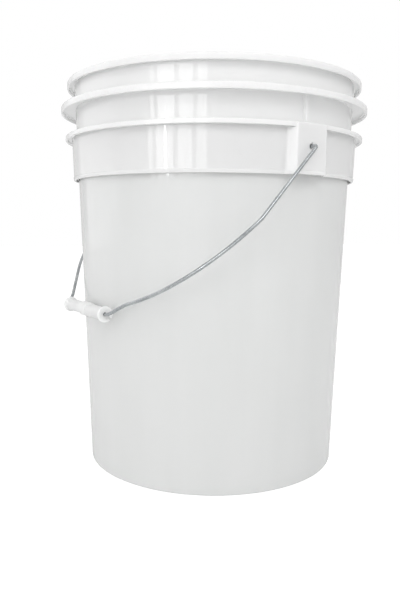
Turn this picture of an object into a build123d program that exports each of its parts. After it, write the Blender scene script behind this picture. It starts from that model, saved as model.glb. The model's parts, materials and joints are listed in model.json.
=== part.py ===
from build123d import *
import os
from math import cos, radians, sin, tan

# Plastic fermenting bucket with a swinging wire bail and a clip-on grip.
# Millimetres. +Z is up, the origin is the centre of the foot on the floor, the bail's
# pivots lie along X, and the bail rests against the front wall, towards -Y.

# Tapered wall, floor and foot
bucket_height = 400.0
wall_radius_base = 135.2      # outside of the wall, at the floor it stands on
wall_radius_top = 148.6       # outside of the wall, at the mouth
wall_thickness = 2.3
floor_top = 11.0
floor_thickness = 2.6
floor_rounding = 6.0          # inside corner between wall and floor
foot_thickness = 3.4          # width of the foot ring that the bucket stands on
foot_rounding = 1.2

# Bead at the mouth, which a lid grips
rim_radius = 155.9
rim_depth = 5.8

# Upper flange, which stops the lid's skirt
flange_radius = 162.5
flange_top = 375.0
flange_depth = 5.9

# Lower ring, with the stiffening skirt that hangs from it
ring_radius = 158.4
ring_top = 345.8
ring_depth = 4.4
skirt_bottom = 300.7
skirt_offset = 5.1            # outside of the skirt, measured out from the wall
skirt_thickness = 2.0
skirt_bead_height = 3.6       # thicker band along the skirt's lower edge
skirt_bead_proud = 0.5

lip_thickness = 2.2           # every lip and web that stands out from the wall
lip_rounding = 0.7

# Ears that carry the bail: hollow bosses on the skirt, open below
ear_face_x = 158.6
ear_half_width = 17.5         # of the flat face
ear_side_angle = 28.0         # how far each side leans out towards the skirt
ear_wall = 2.4
ear_corner_rounding = 1.6
ear_rib_width = 4.0           # low upright rib between the lower ring and the flange
ear_rib_x = 151.4

# Pivot of the bail
hinge_z = 325.6
pivot_hole_radius = 2.3
countersink_radius = 3.7
countersink_depth = 0.9

# Wire bail, drawn flat: x runs along the pivots, y is the distance from them. Each bend
# is (x, y, radius), from the hooked end to the step beside the grip. The bail was bent by
# hand, so the curve on the far side, towards -X, is flatter.
wire_radius = 1.7
bail_rest_angle = 45.8        # below the horizontal, leaning on the front wall
bail_reach = 215.5            # pivots to the grip's axis
bail_half_span = 164.9        # half the distance between the tops of the two legs
tail_x = 151.4                # hooked end, inside the hollow ear
tail_length = 9.0
hook_bends = [(tail_x, 0, 2.4), (bail_half_span, 0, 3.6)]
near_bends = [(167.9, 91.0, 20.0), (141.7, 169.0, 168.0), (66.0, 200.6, 14.0), (48.8, bail_reach, 6.0)]
far_bends = [(167.6, 82.0, 40.0), (118.5, 155.5, 150.0), (58.5, 204.2, 10.0), (50.4, bail_reach, 6.0)]

# Clip-on grip
grip_length = 89.0
grip_radius = 6.1
grip_bore_radius = 4.7
grip_end_radius = 7.8         # flared ends
grip_flare_length = 5.0
grip_end_land = 1.2
grip_collar_radius = 7.1
grip_collar_length = 16.0
grip_edge_rounding = 0.5
grip_slot_width = 2.4
grip_web_hole_radius = 1.95   # webs inside that turn on the wire
grip_web_thickness = 1.6
grip_web_spacing = 43.2

ear_plan_depth = 25.0         # of an ear's plan, from its face to well inside the wall


def wall_radius(z, inset=0.0):
    """Radius of the tapered wall at height z, inset from its outer face."""
    slope = (wall_radius_top - wall_radius_base) / bucket_height
    return wall_radius_base + slope * z - inset


def turned(corners):
    """Turn an outline of (radius, height, rounding) corners about the bucket's axis."""
    outline = make_face(Polyline(*[(r, 0, z) for r, z, _ in corners], close=True))
    for r, z, rounding in corners:
        if rounding > 0:
            corner = outline.vertices().sort_by_distance((r, 0, z))[0]
            outline = fillet(corner, rounding)
    return revolve(outline, Axis.Z)


def lip_outline(radius, top, depth):
    """A web standing out from the wall, with a lip turned down at its edge."""
    web_bottom = top - lip_thickness
    lip_bottom = top - depth
    lip_inside = radius - lip_thickness
    return [
        (wall_radius(web_bottom), web_bottom, 0),
        (lip_inside, web_bottom, 0),
        (lip_inside, lip_bottom, 0),
        (radius, lip_bottom, lip_rounding),
        (radius, top, lip_rounding),
    ]


def skirt_outline():
    """The skirt below the lower ring, parallel to the wall, with a bead at its edge."""
    web_bottom = ring_top - lip_thickness
    bead_top = skirt_bottom + skirt_bead_height
    outside = skirt_offset
    inside = skirt_offset - skirt_thickness
    return [
        (wall_radius(web_bottom), web_bottom, 0),
        (wall_radius(web_bottom) + inside, web_bottom, 0),
        (wall_radius(skirt_bottom) + inside, skirt_bottom, 0),
        (wall_radius(skirt_bottom) + outside, skirt_bottom, lip_rounding),
        (wall_radius(bead_top) + outside + skirt_bead_proud, bead_top - skirt_bead_proud, 0),
        (wall_radius(bead_top) + outside, bead_top, 0),
        (wall_radius(web_bottom) + outside, web_bottom, 0),
    ]


def shell_outline():
    """Section of the bucket from its axis out: foot, skirt, rings, rim and inside."""
    foot_inside = wall_radius_base - foot_thickness
    floor_bottom = floor_top - floor_thickness
    foot = [
        (0, floor_bottom, 0),
        (foot_inside, floor_bottom, 0),
        (foot_inside, 0, 0),
        (wall_radius_base, 0, foot_rounding),
    ]
    ring = lip_outline(ring_radius, ring_top, ring_depth)[1:]
    ring_to_wall = [(wall_radius(ring_top), ring_top, lip_rounding)]
    flange = lip_outline(flange_radius, flange_top, flange_depth)
    flange_to_wall = [(wall_radius(flange_top), flange_top, lip_rounding)]
    rim = lip_outline(rim_radius, bucket_height, rim_depth)
    inside = [
        (wall_radius(bucket_height, wall_thickness), bucket_height, lip_rounding),
        (wall_radius(floor_top, wall_thickness), floor_top, floor_rounding),
        (0, floor_top, 0),
    ]
    return foot + skirt_outline() + ring + ring_to_wall + flange + flange_to_wall + rim + inside


def wall_core(inset):
    """Solid cone that fills the bucket out to its wall, inset from the outer face."""
    return turned([
        (0, 0, 0),
        (wall_radius(0, inset), 0, 0),
        (wall_radius(bucket_height, inset), bucket_height, 0),
        (0, bucket_height, 0),
    ])


def ear_plan(shrink=0.0):
    """Plan of an ear: a flat face between two sides that lean out towards the skirt."""
    inner_x = ear_face_x - ear_plan_depth
    root_half_width = ear_half_width + ear_plan_depth * tan(radians(ear_side_angle))
    plan = make_face(Polyline(
        (inner_x, -root_half_width),
        (ear_face_x, -ear_half_width),
        (ear_face_x, ear_half_width),
        (inner_x, root_half_width),
        close=True,
    ))
    return offset(plan, -shrink) if shrink else plan


def ear_boss():
    """The ear's outside, from the skirt's lower edge up to the top of the lower ring."""
    boss = Pos(0, 0, skirt_bottom) * extrude(ear_plan(), ring_top - skirt_bottom)
    corners = boss.edges().filter_by(Axis.Z).group_by(Axis.X)[-1]
    return fillet(corners, ear_corner_rounding) - wall_core(wall_thickness / 2)


def ear_pocket():
    """The hollow behind the ear's face, which takes the hooked end of the wire."""
    web_bottom = ring_top - lip_thickness
    hollow = extrude(ear_plan(ear_wall), web_bottom)
    return hollow - wall_core(0)


def ear_rib():
    """Upright rib over the ear, joining the lower ring to the flange."""
    inner_x = wall_radius(ring_top, wall_thickness / 2)
    height = flange_top - ring_top
    rib = Box(
        ear_rib_x - inner_x, ear_rib_width, height,
        align=(Align.MIN, Align.CENTER, Align.MIN),
    )
    rib = Pos(inner_x, 0, ring_top - lip_thickness / 2) * rib
    return fillet(rib.edges().filter_by(Axis.Z).group_by(Axis.X)[-1], lip_rounding)


def pivot_hole():
    """Countersunk hole through the ear's face, along X."""
    along_x = Plane(origin=(ear_face_x, 0, hinge_z), x_dir=(0, 1, 0), z_dir=(-1, 0, 0))
    hole = extrude(along_x * Circle(pivot_hole_radius), 2 * ear_wall)
    mouth = loft([
        along_x * Circle(countersink_radius),
        along_x.offset(countersink_depth) * Circle(pivot_hole_radius),
    ])
    return hole + mouth


def on_both_sides(shape):
    """A shape made on the +X side, together with its mirror image on the -X side."""
    return shape + mirror(shape, Plane.YZ)


def bucket_shell():
    """The moulded bucket: one piece of plastic from the foot to the rim."""
    shell = turned(shell_outline())
    shell += on_both_sides(ear_boss() + ear_rib())
    shell -= on_both_sides(ear_pocket() + pivot_hole())
    return shell


def bail_plane():
    """Plane of the bail at rest: its Y axis points from the pivots to the grip."""
    angle = radians(bail_rest_angle)
    return Plane(
        origin=(0, 0, hinge_z),
        x_dir=(1, 0, 0),
        z_dir=(0, sin(angle), -cos(angle)),
    )


def bail_wire():
    """One bent wire: hooked ends, straight legs, a large curve and a step each side."""
    near = hook_bends + near_bends
    far = hook_bends + far_bends
    bends = near + [(-x, y, radius) for x, y, radius in reversed(far)]
    points = [(tail_x, tail_length)] + [(x, y) for x, y, _ in bends] + [(-tail_x, tail_length)]
    route = FilletPolyline(*points, radius=[radius for _, _, radius in bends])
    section = Plane(origin=route @ 0, z_dir=route % 0) * Circle(wire_radius)
    return bail_plane() * sweep(section, path=route)


def grip_half():
    """The +X half of the plain tube: collar, barrel and flared end."""
    half_length = grip_length / 2
    half_collar = grip_collar_length / 2
    land = half_length - grip_end_land
    flare = half_length - grip_flare_length
    straight_run = Polyline(
        (land, grip_end_radius),
        (half_length, grip_end_radius),
        (half_length, grip_bore_radius),
        (0, grip_bore_radius),
        (0, grip_collar_radius),
        (half_collar, grip_collar_radius),
        (half_collar, grip_radius),
        (flare, grip_radius),
    )
    sweep_out = TangentArc((flare, grip_radius), (land, grip_end_radius), tangent=(1, 0))
    outline = make_face(straight_run + sweep_out)
    corners = [
        (half_length, grip_end_radius),
        (half_length, grip_bore_radius),
        (half_collar, grip_collar_radius),
    ]
    for corner in corners:
        outline = fillet(outline.vertices().sort_by_distance(corner)[0], grip_edge_rounding)
    return revolve(outline, Axis.X)


def grip_web(x):
    """Thin web across the grip's bore, with a hole that turns on the wire."""
    ring = Circle(grip_bore_radius + (grip_radius - grip_bore_radius) / 2)
    ring -= Circle(grip_web_hole_radius)
    return extrude(Plane.YZ.offset(x) * ring, grip_web_thickness / 2, both=True)


def bail_grip():
    """C-section plastic grip that clips over the wire; its slot faces the bucket at rest."""
    grip = on_both_sides(grip_half())
    for x in (-grip_web_spacing, 0, grip_web_spacing):
        grip += grip_web(x)
    slot = Box(
        2 * grip_length, grip_slot_width, 2 * grip_end_radius,
        align=(Align.CENTER, Align.CENTER, Align.MIN),
    )
    return bail_plane() * Pos(0, bail_reach, 0) * (grip - slot)


def main():
    os.makedirs("parts", exist_ok=True)
    pieces = {
        "bucket_shell": bucket_shell(),
        "bail_wire": bail_wire(),
        "bail_grip": bail_grip(),
    }
    for name, piece in pieces.items():
        export_step(piece, f"parts/{name}.step")


main()
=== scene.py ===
import json
from math import atan2, ceil, cos, pi, radians, sin, tan

import bmesh
import bpy
from mathutils import Matrix, Vector


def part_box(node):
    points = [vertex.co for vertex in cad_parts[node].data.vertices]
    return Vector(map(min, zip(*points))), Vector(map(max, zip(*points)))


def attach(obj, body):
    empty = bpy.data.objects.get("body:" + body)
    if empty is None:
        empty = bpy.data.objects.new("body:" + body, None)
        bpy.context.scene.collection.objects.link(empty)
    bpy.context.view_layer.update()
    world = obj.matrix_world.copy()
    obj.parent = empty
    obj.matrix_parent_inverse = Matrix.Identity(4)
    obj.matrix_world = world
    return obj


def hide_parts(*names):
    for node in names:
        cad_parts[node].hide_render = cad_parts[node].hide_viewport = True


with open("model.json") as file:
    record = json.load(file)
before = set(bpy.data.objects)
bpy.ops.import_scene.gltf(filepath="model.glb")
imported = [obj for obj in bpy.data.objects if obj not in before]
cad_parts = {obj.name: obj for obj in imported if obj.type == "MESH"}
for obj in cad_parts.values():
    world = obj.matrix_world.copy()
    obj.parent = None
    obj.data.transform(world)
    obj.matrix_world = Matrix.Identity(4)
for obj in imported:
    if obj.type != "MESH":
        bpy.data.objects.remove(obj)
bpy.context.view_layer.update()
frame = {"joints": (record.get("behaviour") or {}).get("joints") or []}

MM = 0.001
TINY = 1e-6

# Sizes from the frame, in metres
SHELL_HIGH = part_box("bucket_shell")[1]
GRIP_LOW, GRIP_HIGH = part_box("bail_grip")
HEIGHT = SHELL_HIGH.z
FLANGE_RADIUS = SHELL_HIGH.y
JOINTS = {joint["name"]: joint for joint in frame["joints"]}
HINGE_Z = JOINTS["bail_swing"]["pos_m"][2]
HINGE = Vector((0, 0, HINGE_Z))
GRIP_CENTRE = Vector(JOINTS["grip_spin"]["pos_m"])
GRIP_HALF_LENGTH = (GRIP_HIGH.x - GRIP_LOW.x) / 2

# Directions of the bail at rest: along its pivots, away from them, and square to both
ALONG = Vector((1, 0, 0))
OUTWARD = (GRIP_CENTRE - HINGE).normalized()
SIDEWAYS = ALONG.cross(OUTWARD)

# Section of the bucket, in metres
WALL_RADIUS_BASE = 135.2 * MM
WALL_RADIUS_TOP = 148.6 * MM
WALL = 2.3 * MM
FLOOR_TOP = 11.0 * MM
FLOOR = 2.6 * MM
FLOOR_ROUNDING = 6.0 * MM
FOOT = 3.4 * MM
FOOT_ROUNDING = 1.2 * MM
RIM_RADIUS = 155.9 * MM
RIM_DEPTH = 5.8 * MM
FLANGE_TOP = 375.0 * MM
FLANGE_DEPTH = 5.9 * MM
RING_RADIUS = 158.4 * MM
RING_TOP = 345.8 * MM
RING_DEPTH = 4.4 * MM
SKIRT_BOTTOM = 300.7 * MM
SKIRT_OFFSET = 5.1 * MM
SKIRT = 2.0 * MM
BEAD_HEIGHT = 3.6 * MM
BEAD_PROUD = 0.5 * MM
LIP = 2.2 * MM
LIP_ROUNDING = 0.7 * MM

# Ears
EAR_FACE_X = 158.6 * MM
EAR_HALF_WIDTH = 17.5 * MM
EAR_SIDE_ANGLE = radians(28.0)
EAR_WALL = 2.4 * MM
EAR_EDGE_BLEND = 1.4 * MM
EAR_ROOT_BLEND = 2.6 * MM
RIB_HALF_WIDTH = 2.0 * MM
RIB_X = 151.4 * MM
RIB_EDGE_BLEND = 0.5 * MM
RIB_ROOT_BLEND = 1.0 * MM
PIVOT_HOLE_RADIUS = 2.3 * MM
COUNTERSINK_RADIUS = 3.7 * MM
COUNTERSINK_DEPTH = 0.9 * MM

# Marks of the mould under the floor
GATE_RADIUS = 2.2 * MM
GATE_DEPTH = 1.0 * MM
PAD_RADIUS = 24.0 * MM
PAD_DEPTH = 0.4 * MM
MARK_SLOPE = 0.5 * MM

# Fineness of the meshes
MIN_STEP = 0.2 * MM
EAR_SPAN = radians(11)
EAR_COLUMNS = 110
WALL_COLUMNS = 106
OUTSIDE_STEPS = 26
INSIDE_STEPS = 28
FLOOR_STEPS = 6
SKIRT_STEPS = 4
GAP_STEPS = 4
HOLE_SIDES = 48
WIRE_SIDES = 24
WIRE_STEP = 8 * MM
WIRE_TURN = radians(3)
GRIP_SIDES = 48

# Corners that turn by more than this stay crisp, in degrees
BUCKET_CREASE = 32
WIRE_CREASE = 50
GRIP_CREASE = 38

# Bail, drawn flat in its own plane: x along the pivots, y away from them, bend radius
WIRE_RADIUS = 1.675 * MM
REACH = (GRIP_CENTRE - HINGE).length
TAIL_X = 151.4 * MM
TAIL_LENGTH = 9.0 * MM
LEG_X = 164.9 * MM
HOOK_BENDS = [(TAIL_X, 0, 2.4 * MM), (LEG_X, 0, 3.6 * MM)]
NEAR_BENDS = [
    (167.9 * MM, 91.0 * MM, 20.0 * MM),
    (141.7 * MM, 169.0 * MM, 168.0 * MM),
    (66.0 * MM, 200.6 * MM, 14.0 * MM),
    (48.8 * MM, REACH, 6.0 * MM),
]
FAR_BENDS = [
    (167.6 * MM, 82.0 * MM, 40.0 * MM),
    (118.5 * MM, 155.5 * MM, 150.0 * MM),
    (58.5 * MM, 204.2 * MM, 10.0 * MM),
    (50.4 * MM, REACH, 6.0 * MM),
]

# Domed end of the wire: how far out each ring is, and its size, in wire radii
DOME = [(0.35, 0.55), (0.2, 0.85)]

# Grip
GRIP_RADIUS = 6.1 * MM
GRIP_BORE = 4.7 * MM
GRIP_END_RADIUS = 7.8 * MM
GRIP_FLARE = 5.0 * MM
GRIP_LAND = 1.2 * MM
COLLAR_RADIUS = 7.1 * MM
COLLAR_HALF_LENGTH = 8.0 * MM
SLOT_HALF_WIDTH = 1.2 * MM
WEB_HOLE = 1.95 * MM
WEB_HALF_THICKNESS = 0.8 * MM
WEB_SPACING = 43.2 * MM
WEB_OVERLAP = 0.4 * MM
EDGE_SOFTENING = 0.5 * MM
SLOT_SOFTENING = 0.3 * MM

# Pairs of colours that a material varies between
WALL_TINTS = ((0.766, 0.775, 0.769, 1), (0.796, 0.803, 0.798, 1))
# The second pair is painted light: the same plastic painted lighter on the outside above the skirt's
# bottom, standing in for light through the thin lips
PAINTED_LIGHT_BAND_TINTS = ((0.940, 0.947, 0.943, 1), (0.954, 0.959, 0.956, 1))
RUBBED_TINT = (0.90, 0.895, 0.885, 1)
ZINC_TINTS = ((0.36, 0.38, 0.395, 1), (0.58, 0.60, 0.61, 1))
GRIP_TINTS = ((0.86, 0.865, 0.86, 1), (0.80, 0.805, 0.80, 1))
PAPER_TINTS = ((0.87, 0.87, 0.87, 1), (0.89, 0.89, 0.89, 1))
WHITE = (1, 1, 1, 1)

# Where the bucket is worn: the flange's outermost edge and the foot's lowest part
WORN_EDGE = 1.2 * MM
WORN_FOOT = 3.5 * MM

# Camera: turned about the bucket's axis, then its yaw, pitch and roll, in degrees
CAMERA_AROUND = 56.2
CAMERA_TURNS = (-1.10, 6.98, 0.41)
CAMERA_PLACE = (0.00008, -0.695, 0.256)
SENSOR_HEIGHT = 36.0
LENS = 37.08

# Soft light: levels near the horizon and overhead, the sines of the heights where they
# start, and the floor's glow where the camera sees it
WORLD_LOW = 0.82
WORLD_HIGH = 0.98
WORLD_LOW_AT = 0.0
WORLD_HIGH_AT = 0.4
FLOOR_GLOW = 0.4
FLOOR_HALF_WIDTH = 6.0

# Window panes: the turns about the bucket's axis where each starts and ends, in degrees,
# the heights where it starts and ends, and its level. The last one is a narrow glint
WINDOW_DISTANCE = 2.5
WINDOW_PANES = [
    (8.0, 11.0, 0.32, 0.9, 2.4),
    (14.0, 27.0, 0.32, 0.9, 2.8),
    (30.5, 41.0, 0.32, 0.9, 2.4),
    (44.5, 51.5, 0.32, 0.9, 2.2),
    (20.5, 22.0, 0.33, 0.6, 10.0),
]

# Softbox above and to the right of the camera
SOFTBOX_PLACE = (1.75, -0.6, 1.6)
SOFTBOX_SIZE = (2.2, 0.9)
SOFTBOX_LEVEL = 2.2

# Pale card to the left of the camera
CARD_PLACE = (-2.0, -1.7, 0.9)
CARD_SIZE = (2.4, 1.8)
CARD_LEVEL = 0.45


# --- shape helpers -------------------------------------------------------------------

def add_object(name, mesh):
    """Link a mesh to the scene as an object."""
    piece = bpy.data.objects.new(name, mesh)
    bpy.context.scene.collection.objects.link(piece)
    return piece


def smooth_shading(piece, sharp_angle):
    """Shade smooth, with edges sharper than the angle kept crisp."""
    mesh = piece.data
    mesh.polygons.foreach_set("use_smooth", [True] * len(mesh.polygons))
    mesh.set_sharp_from_angle(angle=radians(sharp_angle))
    weighted = piece.modifiers.new("weighted_normals", "WEIGHTED_NORMAL")
    weighted.keep_sharp = True


def soft_max(a, b, blend):
    """The larger of two lengths, with a rounded change from one to the other."""
    near = max(blend - abs(a - b), 0) / blend
    return max(a, b) + near * near * blend / 4


def soft_min(a, b, blend):
    """The smaller of two lengths, with a rounded change from one to the other."""
    return -soft_max(-a, -b, blend)


def corner_arc(before, corner, after, radius, steps):
    """Points of the arc that rounds a corner between two straight runs."""
    back = (before - corner).normalized()
    ahead = (after - corner).normalized()
    half = back.angle(ahead) / 2
    middle = corner + (back + ahead).normalized() * (radius / sin(half))
    start = corner + back * (radius / tan(half)) - middle
    end = corner + ahead * (radius / tan(half)) - middle
    return [middle + start.slerp(end, k / steps) * radius for k in range(steps + 1)]


def subdivided(points, longest):
    """The same run of points, with none further apart than the longest step."""
    made = [points[0]]
    for a, b in zip(points, points[1:]):
        count = max(1, ceil((b - a).length / longest))
        made += [a.lerp(b, k / count) for k in range(1, count + 1)]
    return made


def grid_mesh(name, rings, wrap_rings=False, wrap_ring=True):
    """A mesh of quads that joins rings of points, each with the same number of points."""
    count = len(rings[0])
    vertices = [p for ring in rings for p in ring]
    faces = []
    ring_pairs = len(rings) if wrap_rings else len(rings) - 1
    point_pairs = count if wrap_ring else count - 1
    for i in range(ring_pairs):
        a, b = i * count, (i + 1) % len(rings) * count
        for j in range(point_pairs):
            k = (j + 1) % count
            faces.append((a + j, a + k, b + k, b + j))
    mesh = bpy.data.meshes.new(name)
    mesh.from_pydata(vertices, [], faces)
    return mesh


# --- bucket --------------------------------------------------------------------------

def wall_radius(z):
    """Outside radius of the tapered wall."""
    return WALL_RADIUS_BASE + (WALL_RADIUS_TOP - WALL_RADIUS_BASE) * z / HEIGHT


def ear_radius(angle, inset):
    """Distance from the bucket's axis to an ear's face or side, in plan."""
    x, y = abs(cos(angle)), abs(sin(angle))
    face = (EAR_FACE_X - inset) / max(x, TINY)
    across, along = cos(EAR_SIDE_ANGLE), sin(EAR_SIDE_ANGLE)
    reach = EAR_HALF_WIDTH * across + EAR_FACE_X * along - inset
    side = reach / max(y * across + x * along, TINY)
    return soft_min(face, side, EAR_EDGE_BLEND)


def rib_radius(angle):
    """Distance from the bucket's axis to the low rib's face or side, in plan."""
    x, y = abs(cos(angle)), abs(sin(angle))
    return soft_min(RIB_X / max(x, TINY), RIB_HALF_WIDTH / max(y, TINY), RIB_EDGE_BLEND)


class Outline:
    """A run of (radius, height) points, built corner by corner."""

    def __init__(self, radius, height):
        self.points = [Vector((radius, height))]

    def to(self, radius, height, steps=1):
        """Straight to the next corner, in equal steps."""
        start, end = self.points[-1], Vector((radius, height))
        self.points += [start.lerp(end, k / steps) for k in range(1, steps + 1)]

    def round(self, radius, height, rounding, after, steps=3):
        """Rounded corner, on the way to the point after it."""
        self.points += corner_arc(
            self.points[-1], Vector((radius, height)), Vector(after), rounding, steps)


class Radii:
    """Distances from the bucket's axis, at one angle about it."""

    def __init__(self, angle):
        self.ear = ear_radius(angle, 0)
        self.pocket = ear_radius(angle, EAR_WALL)
        self.rib = rib_radius(angle)

    def skirt_outside(self, z):
        """Outside of the skirt, and of the ear where there is one."""
        return soft_max(wall_radius(z) + SKIRT_OFFSET, self.ear, EAR_ROOT_BLEND)

    def skirt_inside(self, z):
        """Back of the skirt, and of the pocket behind the ear."""
        return soft_max(wall_radius(z) + SKIRT_OFFSET - SKIRT, self.pocket, EAR_ROOT_BLEND)

    def ribbed_wall(self, z):
        """Outside of the wall, and of the rib where there is one."""
        return soft_max(wall_radius(z), self.rib, RIB_ROOT_BLEND)


def draw_foot(line):
    """Pad and recessed floor under the bucket, foot, and wall up to the lowest ring."""
    floor_bottom = FLOOR_TOP - FLOOR
    web = RING_TOP - LIP
    line.to(GATE_RADIUS, floor_bottom - GATE_DEPTH)
    line.to(GATE_RADIUS + MARK_SLOPE, floor_bottom - PAD_DEPTH)
    line.to(PAD_RADIUS, floor_bottom - PAD_DEPTH)
    line.to(PAD_RADIUS + MARK_SLOPE, floor_bottom)
    line.to(WALL_RADIUS_BASE - FOOT, floor_bottom, FLOOR_STEPS)
    line.to(WALL_RADIUS_BASE - FOOT, 0, 2)
    line.round(WALL_RADIUS_BASE, 0, FOOT_ROUNDING, (wall_radius(web), web), 4)
    line.to(wall_radius(web), web, OUTSIDE_STEPS)


def draw_skirt(line, radii):
    """Back of the skirt, and the bead round its bottom."""
    web = RING_TOP - LIP
    bead_top = SKIRT_BOTTOM + BEAD_HEIGHT
    bead = radii.skirt_outside(bead_top) + BEAD_PROUD
    bead_corner = (bead, bead_top - BEAD_PROUD)
    line.to(radii.skirt_inside(web), web)
    line.to(radii.skirt_inside(SKIRT_BOTTOM), SKIRT_BOTTOM, SKIRT_STEPS)
    line.round(radii.skirt_outside(SKIRT_BOTTOM), SKIRT_BOTTOM, LIP_ROUNDING, bead_corner)
    line.to(*bead_corner)
    line.to(radii.skirt_outside(bead_top), bead_top)


def draw_ring(line, radii):
    """Front of the skirt and the lip of the lowest ring, or the ear's face in their place."""
    web = RING_TOP - LIP
    lip_bottom = RING_TOP - RING_DEPTH
    groove = RING_RADIUS - LIP
    if radii.ear < groove:
        line.to(radii.skirt_outside(web), web, SKIRT_STEPS)
        line.to(groove, web)
        line.to(groove, lip_bottom)
    else:
        line.to(radii.skirt_outside(lip_bottom), lip_bottom - 3 * MIN_STEP, SKIRT_STEPS)
        line.to(radii.ear, lip_bottom - 2 * MIN_STEP)
        line.to(radii.ear, lip_bottom - MIN_STEP)
    lip = corner_arc(Vector((groove, lip_bottom)), Vector((RING_RADIUS, lip_bottom)),
                     Vector((RING_RADIUS, RING_TOP)), LIP_ROUNDING, 3)
    line.points += [Vector((max(p.x, radii.ear), p.y)) for p in lip]
    line.round(max(RING_RADIUS, radii.ear), RING_TOP, LIP_ROUNDING, (0, RING_TOP))


def draw_lip(line, radius, top, depth):
    """Web from the wall out to a ring's edge, and the lip that hangs from it."""
    line.to(radius - LIP, top - LIP)
    line.to(radius - LIP, top - depth)
    line.round(radius, top - depth, LIP_ROUNDING, (radius, top))
    line.round(radius, top, LIP_ROUNDING, (0, top))


def draw_root(line, radius, top):
    """Softened corner between a ring's top and the wall above it."""
    line.to(radius + LIP_ROUNDING, top)
    line.to(radius, top + LIP_ROUNDING)


def draw_inside(line):
    """Inside of the wall, from the mouth down to the floor's middle."""
    inside_base = (wall_radius(FLOOR_TOP) - WALL, FLOOR_TOP)
    line.round(wall_radius(HEIGHT) - WALL, HEIGHT, LIP_ROUNDING, inside_base)
    rounding = corner_arc(line.points[-1], Vector(inside_base), Vector((0, FLOOR_TOP)), FLOOR_ROUNDING, 6)
    line.to(*rounding[0], INSIDE_STEPS)
    line.points += rounding[1:]
    line.to(0, FLOOR_TOP, FLOOR_STEPS)


def section(angle):
    """The bucket's outline at one angle about its axis, from under its floor to above it."""
    radii = Radii(angle)
    line = Outline(0, FLOOR_TOP - FLOOR - GATE_DEPTH)
    draw_foot(line)
    draw_skirt(line, radii)
    draw_ring(line, radii)
    draw_root(line, radii.ribbed_wall(RING_TOP), RING_TOP)
    line.to(radii.ribbed_wall(FLANGE_TOP - LIP), FLANGE_TOP - LIP, GAP_STEPS)
    draw_lip(line, FLANGE_RADIUS, FLANGE_TOP, FLANGE_DEPTH)
    draw_root(line, wall_radius(FLANGE_TOP), FLANGE_TOP)
    line.to(wall_radius(HEIGHT - LIP), HEIGHT - LIP, GAP_STEPS)
    draw_lip(line, RIM_RADIUS, HEIGHT, RIM_DEPTH)
    draw_inside(line)
    return line.points


def column_angles():
    """Angles of the outline's copies: close together over the two ears, wider elsewhere."""
    angles = []
    for ear in (0, pi):
        angles += [ear + EAR_SPAN * (2 * k / EAR_COLUMNS - 1) for k in range(EAR_COLUMNS)]
        rest = pi - 2 * EAR_SPAN
        angles += [ear + EAR_SPAN + rest * k / WALL_COLUMNS for k in range(WALL_COLUMNS)]
    return angles


def hole_cutter(side):
    """A plug the shape of the countersunk hole in one ear."""
    profile = [
        (PIVOT_HOLE_RADIUS, EAR_FACE_X - 2 * EAR_WALL),
        (PIVOT_HOLE_RADIUS, EAR_FACE_X - COUNTERSINK_DEPTH),
        (COUNTERSINK_RADIUS, EAR_FACE_X),
        (COUNTERSINK_RADIUS, EAR_FACE_X + EAR_WALL),
    ]
    turns = [2 * pi * k / HOLE_SIDES * side for k in range(HOLE_SIDES)]
    rings = [[Vector((side * x, r * cos(t), HINGE_Z + r * sin(t))) for t in turns] for r, x in profile]
    mesh = grid_mesh("hole_cutter", rings)
    cap_ends(mesh, HOLE_SIDES)
    return add_object("hole_cutter", mesh)


def cap_ends(mesh, count):
    """Close the two open ends of a tube whose rings have the given number of points."""
    bm = bmesh.new()
    bm.from_mesh(mesh)
    bm.verts.ensure_lookup_table()
    bm.faces.new(bm.verts[:count])
    bm.faces.new(bm.verts[-count:])
    bmesh.ops.recalc_face_normals(bm, faces=bm.faces)
    bm.to_mesh(mesh)
    bm.free()


def combine(piece, others, operation):
    """Cut other solids out of a piece, or join them to it, and remove them."""
    for other in others:
        cut = piece.modifiers.new("combine", "BOOLEAN")
        cut.operation = operation
        cut.solver = "EXACT"
        cut.object = other
    bpy.context.view_layer.update()
    combined = piece.evaluated_get(bpy.context.evaluated_depsgraph_get())
    made = bpy.data.meshes.new_from_object(combined)
    piece.modifiers.clear()
    piece.data = made
    for other in others:
        bpy.data.objects.remove(other)


def weld(mesh, distance):
    """Merge points that coincide, and turn every face outwards."""
    bm = bmesh.new()
    bm.from_mesh(mesh)
    bmesh.ops.remove_doubles(bm, verts=bm.verts, dist=distance)
    bmesh.ops.recalc_face_normals(bm, faces=bm.faces)
    bm.to_mesh(mesh)
    bm.free()


def make_bucket():
    """The moulded bucket, turned about its axis, with ears and ribs worked into the outline."""
    rings = []
    for angle in column_angles():
        rings.append([Vector((p.x * cos(angle), p.x * sin(angle), p.y)) for p in section(angle)])
    mesh = grid_mesh("bucket", rings, wrap_rings=True, wrap_ring=False)
    weld(mesh, MIN_STEP / 100)
    piece = add_object("bucket", mesh)
    combine(piece, [hole_cutter(1), hole_cutter(-1)], "DIFFERENCE")
    smooth_shading(piece, BUCKET_CREASE)
    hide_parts("bucket_shell")
    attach(piece, "bucket")
    return piece


# --- bail ----------------------------------------------------------------------------

def bent(points_and_bends, end_points):
    """A flat path through rounded bends, from one end point to the other."""
    start, end = (Vector(p) for p in end_points)
    corners = [start] + [Vector((x, y)) for x, y, _ in points_and_bends] + [end]
    path = [start]
    for k, (_, _, radius) in enumerate(points_and_bends, 1):
        turn = (corners[k] - corners[k - 1]).angle(corners[k + 1] - corners[k])
        steps = max(4, ceil(turn / WIRE_TURN))
        path += corner_arc(corners[k - 1], corners[k], corners[k + 1], radius, steps)
    return subdivided(path + [end], WIRE_STEP)


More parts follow.
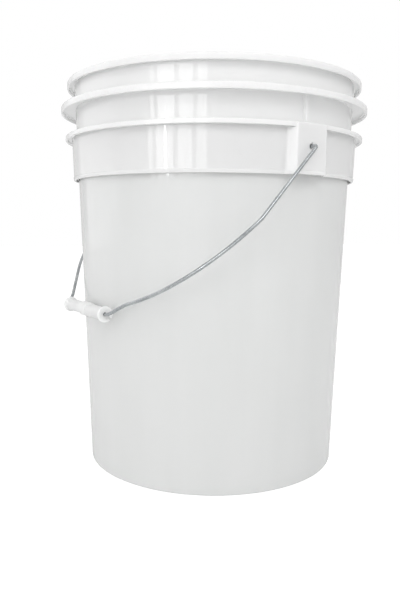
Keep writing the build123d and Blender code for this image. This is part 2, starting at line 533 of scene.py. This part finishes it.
def tube(name, path, normal, radius, sides):
    """A round tube along a flat path, with lightly domed ends and a map along its length."""
    before = (path[0] - path[1]).normalized() * radius
    beyond = (path[-1] - path[-2]).normalized() * radius
    stations = [(path[0] + before * out, radius * size) for out, size in DOME]
    stations += [(p, radius) for p in path]
    stations += [(path[-1] + beyond * out, radius * size) for out, size in reversed(DOME)]
    centres = [p for p, _ in stations]
    rings, lengths, length = [], [], 0
    for k, (centre, r) in enumerate(stations):
        tangent = (centres[min(k + 1, len(centres) - 1)] - centres[max(k - 1, 0)]).normalized()
        side = normal.cross(tangent)
        length += (centre - centres[max(k - 1, 0)]).length
        lengths.append(length)
        rings.append([
            centre + (side * cos(2 * pi * j / sides) + normal * sin(2 * pi * j / sides)) * r
            for j in range(sides)
        ])
    mesh = grid_mesh(name, rings)
    layer = mesh.uv_layers.new(name="along_wire")
    for face in mesh.polygons:
        ring, j = divmod(face.index, sides)
        around = (j / sides, (j + 1) / sides, (j + 1) / sides, j / sides)
        along = (lengths[ring], lengths[ring], lengths[ring + 1], lengths[ring + 1])
        for loop, u, v in zip(face.loop_indices, around, along):
            layer.data[loop].uv = (u, v)
    cap_ends(mesh, sides)
    return mesh


def make_bail():
    """The bent wire, in the plane that it rests in."""
    near, far = HOOK_BENDS + NEAR_BENDS, HOOK_BENDS + FAR_BENDS
    bends = near + [(-x, y, radius) for x, y, radius in reversed(far)]
    flat = bent(bends, ((TAIL_X, TAIL_LENGTH), (-TAIL_X, TAIL_LENGTH)))
    path = [HINGE + ALONG * p.x + OUTWARD * p.y for p in flat]
    piece = add_object("bail", tube("bail", path, SIDEWAYS, WIRE_RADIUS, WIRE_SIDES))
    smooth_shading(piece, WIRE_CREASE)
    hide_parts("bail_wire")
    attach(piece, "bail")
    return piece


# --- grip ----------------------------------------------------------------------------

def slotted_ring(x, outer, inner, slot):
    """Points of a C-section at one place along the grip, and round its lips."""

    def circle(radius, gap):
        start = atan2(gap, (radius * radius - gap * gap) ** 0.5)
        turns = [start + (2 * pi - 2 * start) * k / GRIP_SIDES for k in range(GRIP_SIDES + 1)]
        return [(radius * cos(t), radius * sin(t)) for t in turns]

    soft = SLOT_SOFTENING
    outside, inside = circle(outer, slot + soft), circle(inner, slot + soft)

    def lip(radius, gap):
        return ((radius * radius - gap * gap) ** 0.5, gap)

    last_lip = [(a, -b) for a, b in (lip(outer - soft, slot), lip(inner + soft, slot))]
    first_lip = [lip(inner + soft, slot), lip(outer - soft, slot)]
    flat = outside + last_lip + inside[::-1] + first_lip
    return [GRIP_CENTRE + ALONG * x + SIDEWAYS * a - OUTWARD * b for a, b in flat]


def slotted_tube(name, stations, slot):
    """A C-section tube through the stations (place, outer radius, inner radius)."""
    rings = [slotted_ring(x, outer, inner, slot) for x, outer, inner in stations]
    mesh = grid_mesh(name, rings)
    count = len(rings[0])
    arc = GRIP_SIDES + 1
    bm = bmesh.new()
    bm.from_mesh(mesh)
    bm.verts.ensure_lookup_table()
    for base in (0, len(bm.verts) - count):
        ring = bm.verts[base:base + count]
        outer, last_lip = ring[:arc], ring[arc:arc + 2]
        inner, first_lip = ring[arc + 2:2 * arc + 2][::-1], ring[2 * arc + 2:]
        for k in range(GRIP_SIDES):
            bm.faces.new((outer[k], outer[k + 1], inner[k + 1], inner[k]))
        bm.faces.new((outer[-1], last_lip[0], last_lip[1], inner[-1]))
        bm.faces.new((inner[0], first_lip[0], first_lip[1], outer[0]))
    bmesh.ops.recalc_face_normals(bm, faces=bm.faces)
    bm.to_mesh(mesh)
    bm.free()
    return add_object(name, mesh)


def grip_stations():
    """Places along half of the grip, with the outer and inner radius at each."""
    soft = EDGE_SOFTENING
    flare_start = GRIP_HALF_LENGTH - GRIP_FLARE
    land_start = GRIP_HALF_LENGTH - GRIP_LAND
    rise = GRIP_END_RADIUS - GRIP_RADIUS
    half = [(0, COLLAR_RADIUS, GRIP_BORE)]
    half += [
        (COLLAR_HALF_LENGTH - soft, COLLAR_RADIUS, GRIP_BORE),
        (COLLAR_HALF_LENGTH - soft / 3, COLLAR_RADIUS - soft / 3, GRIP_BORE),
        (COLLAR_HALF_LENGTH, GRIP_RADIUS + soft / 4, GRIP_BORE),
        (COLLAR_HALF_LENGTH + soft / 2, GRIP_RADIUS, GRIP_BORE),
    ]
    barrel = flare_start - COLLAR_HALF_LENGTH - soft / 2
    half += [(flare_start - barrel * (1 - k / 4), GRIP_RADIUS, GRIP_BORE) for k in range(1, 5)]
    half += [
        (flare_start + (land_start - flare_start) * k / 6, GRIP_RADIUS + rise * (k / 6) ** 2, GRIP_BORE)
        for k in range(1, 7)
    ]
    half += [
        (GRIP_HALF_LENGTH - soft, GRIP_END_RADIUS, GRIP_BORE),
        (GRIP_HALF_LENGTH - soft / 3, GRIP_END_RADIUS - soft / 3, GRIP_BORE + soft / 5),
        (GRIP_HALF_LENGTH, GRIP_END_RADIUS - soft, GRIP_BORE + soft / 2),
    ]
    return [(-x, a, b) for x, a, b in reversed(half[1:])] + half


def make_grip():
    """The slotted grip with the three webs inside that turn on the wire."""
    piece = slotted_tube("grip", grip_stations(), SLOT_HALF_WIDTH)
    webs = []
    for k in (-1, 0, 1):
        ends = [k * WEB_SPACING + side * WEB_HALF_THICKNESS for side in (-1, 1)]
        stations = [(x, GRIP_BORE + WEB_OVERLAP, WEB_HOLE) for x in ends]
        webs.append(slotted_tube("web", stations, SLOT_HALF_WIDTH))
    combine(piece, webs, "UNION")
    smooth_shading(piece, GRIP_CREASE)
    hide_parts("bail_grip")
    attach(piece, "grip")
    return piece


# --- materials -----------------------------------------------------------------------

class Nodes:
    """The nodes of one material, added and joined by short names."""

    def __init__(self, name):
        self.material = bpy.data.materials.new(name)
        self.material.use_nodes = True
        self.tree = self.material.node_tree
        self.shader = self.tree.nodes["Principled BSDF"]

    def add(self, kind, inputs, **settings):
        """A node with its inputs set to numbers or joined to other nodes' outputs."""
        node = self.tree.nodes.new("ShaderNode" + kind)
        for name, value in settings.items():
            setattr(node, name, value)
        for name, value in inputs.items():
            self.give(node.inputs[name], value)
        return node

    def give(self, socket, value):
        """Join another node's output to a socket, or set the socket to a number."""
        if isinstance(value, bpy.types.NodeSocket):
            self.tree.links.new(value, socket)
        else:
            socket.default_value = value

    def shade(self, **inputs):
        """Set the shader's own sockets."""
        for name, value in inputs.items():
            self.give(self.shader.inputs[name.replace("_", " ")], value)

    def place(self, stretch=(1, 1, 1), kind="Object"):
        """Where a point is on the piece, scaled along each axis."""
        where = self.add("TexCoord", {}).outputs[kind]
        return self.add("Mapping", {"Vector": where, "Scale": stretch}).outputs["Vector"]

    def noise(self, place, scale, detail=3):
        """Soft random cloud, from 0 to 1."""
        made = self.add("TexNoise", {"Vector": place, "Scale": scale, "Detail": detail})
        return made.outputs["Fac"]

    def spread(self, value, low, high, start=0, end=1):
        """The value's range from low to high, turned into the range from start to end."""
        made = self.add("MapRange", {
            "Value": value, "From Min": low, "From Max": high, "To Min": start, "To Max": end})
        return made.outputs["Result"]

    def sum(self, operation, a, b):
        """Two values put together."""
        node = self.tree.nodes.new("ShaderNodeMath")
        node.operation = operation
        self.give(node.inputs[0], a)
        self.give(node.inputs[1], b)
        return node.outputs["Value"]

    def blend(self, amount, a, b):
        """From colour a to colour b."""
        node = self.tree.nodes.new("ShaderNodeMix")
        node.data_type = "RGBA"
        colours = [socket for socket in node.inputs if socket.type == "RGBA"]
        self.give(node.inputs[0], amount)
        self.give(colours[0], a)
        self.give(colours[1], b)
        return [socket for socket in node.outputs if socket.type == "RGBA"][0]

    def bump(self, height, depth, strength=1, under=None):
        """Relief of the given depth in metres, on top of other relief."""
        inputs = {"Height": height, "Distance": depth, "Strength": strength}
        if under:
            inputs["Normal"] = under
        return self.add("Bump", inputs).outputs["Normal"]


def natural_plastic():
    """Unpigmented, slightly cloudy moulded plastic with a soft gloss, with painted light: its outside
    above the skirt's bottom is painted lighter than the wall.
    """
    nodes = Nodes("natural_plastic")
    place = nodes.place()
    axes = nodes.add("SeparateXYZ", {"Vector": place}).outputs
    flat = nodes.add("CombineXYZ", {"X": axes["X"], "Y": axes["Y"]}).outputs["Vector"]
    radius = nodes.add("VectorMath", {0: flat}, operation="LENGTH").outputs["Value"]

    cloud = nodes.noise(place, 9)
    flow = nodes.noise(nodes.place((34, 34, 2.5)), 1, 4)
    tone = nodes.spread(nodes.sum("ADD", cloud, flow), 0.7, 1.3)
    wall = nodes.blend(tone, *WALL_TINTS)
    # Painted light: the outside above the skirt's bottom, including the rings, flange and rim, takes the
    # lighter tints. They stand in for light through the thin translucent lips. The inside and the lower
    # wall keep the wall tints
    rings = nodes.blend(tone, *PAINTED_LIGHT_BAND_TINTS)
    high = nodes.spread(axes["Z"], SKIRT_BOTTOM - BEAD_HEIGHT, SKIRT_BOTTOM)
    outside = nodes.spread(radius, wall_radius(HEIGHT) - WALL, wall_radius(RING_TOP))
    colour = nodes.blend(nodes.sum("MULTIPLY", high, outside), wall, rings)

    edges = nodes.spread(radius, FLANGE_RADIUS - WORN_EDGE, FLANGE_RADIUS)
    foot = nodes.spread(axes["Z"], WORN_FOOT, 0)
    rubs = nodes.spread(nodes.noise(place, 420, 5), 0.5, 0.7)
    worn = nodes.sum("MULTIPLY", nodes.sum("MAXIMUM", edges, foot), rubs)
    colour = nodes.blend(nodes.sum("MULTIPLY", worn, 0.5), colour, RUBBED_TINT)

    stacking = nodes.spread(nodes.noise(nodes.place((140, 140, 4)), 1, 2), 0.5, 0.8)
    smears = nodes.spread(nodes.noise(place, 26, 4), 0.35, 0.7, 0.31, 0.38)
    scuffs = nodes.sum("MULTIPLY", nodes.sum("MAXIMUM", worn, stacking), 0.12)
    gloss = nodes.sum("ADD", smears, scuffs)

    waves = nodes.bump(nodes.noise(nodes.place((1, 1, 0.35)), 30, 0), 0.06 * MM)
    peel = nodes.bump(nodes.noise(place, 330, 2), 0.002 * MM, under=waves)
    marks = nodes.bump(worn, -0.002 * MM, under=peel)
    nodes.shade(
        Base_Color=colour,
        Roughness=gloss,
        IOR=1.5,
        Transmission_Weight=0.08,
        Subsurface_Weight=1.0,
        Subsurface_Radius=(1.0, 1.0, 1.0),
        Subsurface_Scale=4 * MM,
        Coat_Weight=1.0,
        Coat_Roughness=0.02,
        Normal=marks,
    )
    return nodes.material


def galvanised_wire():
    """Drawn steel wire with a dulled zinc coat."""
    nodes = Nodes("galvanised_wire")
    place = nodes.place()
    along = nodes.place((30, 60, 1), "UV")
    drawn = nodes.noise(along, 1, 3)
    zinc = nodes.add("TexVoronoi", {"Vector": place, "Scale": 700}).outputs["Color"]
    crystals = nodes.add("SeparateXYZ", {"Vector": zinc}).outputs["X"]
    dulled = nodes.spread(nodes.noise(place, 45, 4), 0.4, 0.65)
    tone = nodes.sum("ADD", nodes.sum("MULTIPLY", crystals, 0.4), nodes.sum("MULTIPLY", dulled, 0.6))
    colour = nodes.blend(tone, *ZINC_TINTS)
    relief = nodes.bump(drawn, 0.015 * MM)
    relief = nodes.bump(nodes.noise(place, 900, 2), 0.004 * MM, under=relief)
    nodes.shade(
        Base_Color=colour,
        Metallic=1.0,
        Roughness=nodes.spread(dulled, 0, 1, 0.12, 0.24),
        Normal=relief,
    )
    return nodes.material


def white_plastic():
    """White moulded plastic with a satin surface, a little rubbed by hands."""
    nodes = Nodes("white_plastic")
    place = nodes.place()
    smudges = nodes.spread(nodes.noise(place, 60, 4), 0.35, 0.7)
    colour = nodes.blend(smudges, *GRIP_TINTS)
    grain = nodes.bump(nodes.noise(place, 1400, 2), 0.006 * MM)
    relief = nodes.bump(nodes.noise(nodes.place((0.3, 1, 1)), 160, 1), 0.05 * MM, under=grain)
    nodes.shade(
        Base_Color=colour,
        Roughness=nodes.spread(smudges, 0, 1, 0.3, 0.45),
        IOR=1.49,
        Subsurface_Weight=1.0,
        Subsurface_Radius=(1.0, 1.0, 1.0),
        Subsurface_Scale=3 * MM,
        Normal=relief,
    )
    return nodes.material


def floor_paper():
    """Plain pale paper, over-exposed to white where it is seen directly."""
    nodes = Nodes("floor_paper")
    fibres = nodes.noise(nodes.place(), 300, 3)
    seen = nodes.add("LightPath", {}).outputs["Is Camera Ray"]
    nodes.shade(
        Base_Color=nodes.blend(fibres, *PAPER_TINTS),
        Roughness=0.9,
        Specular_IOR_Level=0.1,
        Emission_Color=WHITE,
        Emission_Strength=nodes.sum("MULTIPLY", seen, FLOOR_GLOW),
    )
    return nodes.material


# --- stage, light and camera ---------------------------------------------------------

def make_floor():
    """A large pale floor."""
    half = FLOOR_HALF_WIDTH
    corners = [(-half, -half, 0), (half, -half, 0), (half, half, 0), (-half, half, 0)]
    mesh = bpy.data.meshes.new("floor")
    mesh.from_pydata(corners, [], [(0, 1, 2, 3)])
    floor = add_object("floor", mesh)
    mesh.materials.append(floor_paper())


def make_world():
    """Soft light, brightest overhead, from walls that are seen as plain white."""
    world = bpy.data.worlds.new("studio")
    world.use_nodes = True
    tree = world.node_tree
    tree.nodes.clear()
    where = tree.nodes.new("ShaderNodeTexCoord")
    axes = tree.nodes.new("ShaderNodeSeparateXYZ")
    level = tree.nodes.new("ShaderNodeMapRange")
    level.interpolation_type = "SMOOTHSTEP"
    levels = (WORLD_LOW_AT, WORLD_HIGH_AT, WORLD_LOW, WORLD_HIGH)
    for name, value in zip(("From Min", "From Max", "To Min", "To Max"), levels):
        level.inputs[name].default_value = value
    light = tree.nodes.new("ShaderNodeBackground")
    seen = tree.nodes.new("ShaderNodeBackground")
    seen.inputs["Color"].default_value = WHITE
    path = tree.nodes.new("ShaderNodeLightPath")
    mix = tree.nodes.new("ShaderNodeMixShader")
    output = tree.nodes.new("ShaderNodeOutputWorld")
    tree.links.new(where.outputs["Generated"], axes.inputs["Vector"])
    tree.links.new(axes.outputs["Z"], level.inputs["Value"])
    tree.links.new(level.outputs["Result"], light.inputs["Strength"])
    tree.links.new(path.outputs["Is Camera Ray"], mix.inputs["Fac"])
    tree.links.new(light.outputs["Background"], mix.inputs[1])
    tree.links.new(seen.outputs["Background"], mix.inputs[2])
    tree.links.new(mix.outputs["Shader"], output.inputs["Surface"])
    bpy.context.scene.world = world


def add_light(name, place, target, width, height, radiance):
    """A rectangular soft light, not seen directly by the camera."""
    data = bpy.data.lights.new(name, "AREA")
    data.shape = "RECTANGLE"
    data.size = width
    data.size_y = height
    data.energy = radiance * pi * width * height
    light = bpy.data.objects.new(name, data)
    bpy.context.scene.collection.objects.link(light)
    towards = Vector(target) - Vector(place)
    light.location = place
    light.rotation_euler = towards.to_track_quat("-Z", "Y").to_euler()
    light.visible_camera = False


def make_lights():
    """A softbox overhead, a card to the left, and a window with bars between its panes."""
    add_light("softbox", SOFTBOX_PLACE, (0, 0, HEIGHT / 2), *SOFTBOX_SIZE, SOFTBOX_LEVEL)
    add_light("card", CARD_PLACE, (0, 0, HEIGHT / 2), *CARD_SIZE, CARD_LEVEL)
    for start, end, sill, top, level in WINDOW_PANES:
        around = radians(start + end) / 2
        width = 2 * WINDOW_DISTANCE * tan(radians(end - start) / 2)
        place = Vector((sin(around), -cos(around), 0)) * WINDOW_DISTANCE
        place.z = (sill + top) / 2
        add_light("pane", place, (0, 0, place.z), width, top - sill, level)


def make_camera():
    """The camera, a little above the rim's height, looking slightly down."""
    yaw, pitch, roll = (radians(turn) for turn in CAMERA_TURNS)
    forward = Vector((sin(yaw) * cos(pitch), cos(yaw) * cos(pitch), -sin(pitch)))
    right = Vector((cos(yaw), -sin(yaw), 0))
    up = right.cross(forward)
    rolled_right = cos(roll) * right + sin(roll) * up
    rolled_up = -sin(roll) * right + cos(roll) * up
    to_bucket = Matrix.Rotation(radians(CAMERA_AROUND), 3, "Z")
    columns = [to_bucket @ axis for axis in (rolled_right, rolled_up, -forward)]
    data = bpy.data.cameras.new("camera")
    data.sensor_fit = "VERTICAL"
    data.sensor_height = SENSOR_HEIGHT
    data.lens = LENS
    camera = bpy.data.objects.new("camera", data)
    bpy.context.scene.collection.objects.link(camera)
    place = to_bucket @ Vector(CAMERA_PLACE)
    camera.matrix_world = Matrix.Translation(place) @ Matrix(columns).transposed().to_4x4()
    bpy.context.scene.camera = camera


make_camera()
make_world()
make_lights()
make_floor()
finishes = (
    (make_bucket(), natural_plastic()),
    (make_bail(), galvanised_wire()),
    (make_grip(), white_plastic()),
)
for piece, finish in finishes:
    piece.data.materials.clear()
    piece.data.materials.append(finish)
bpy.context.scene.view_settings.view_transform = "Standard"
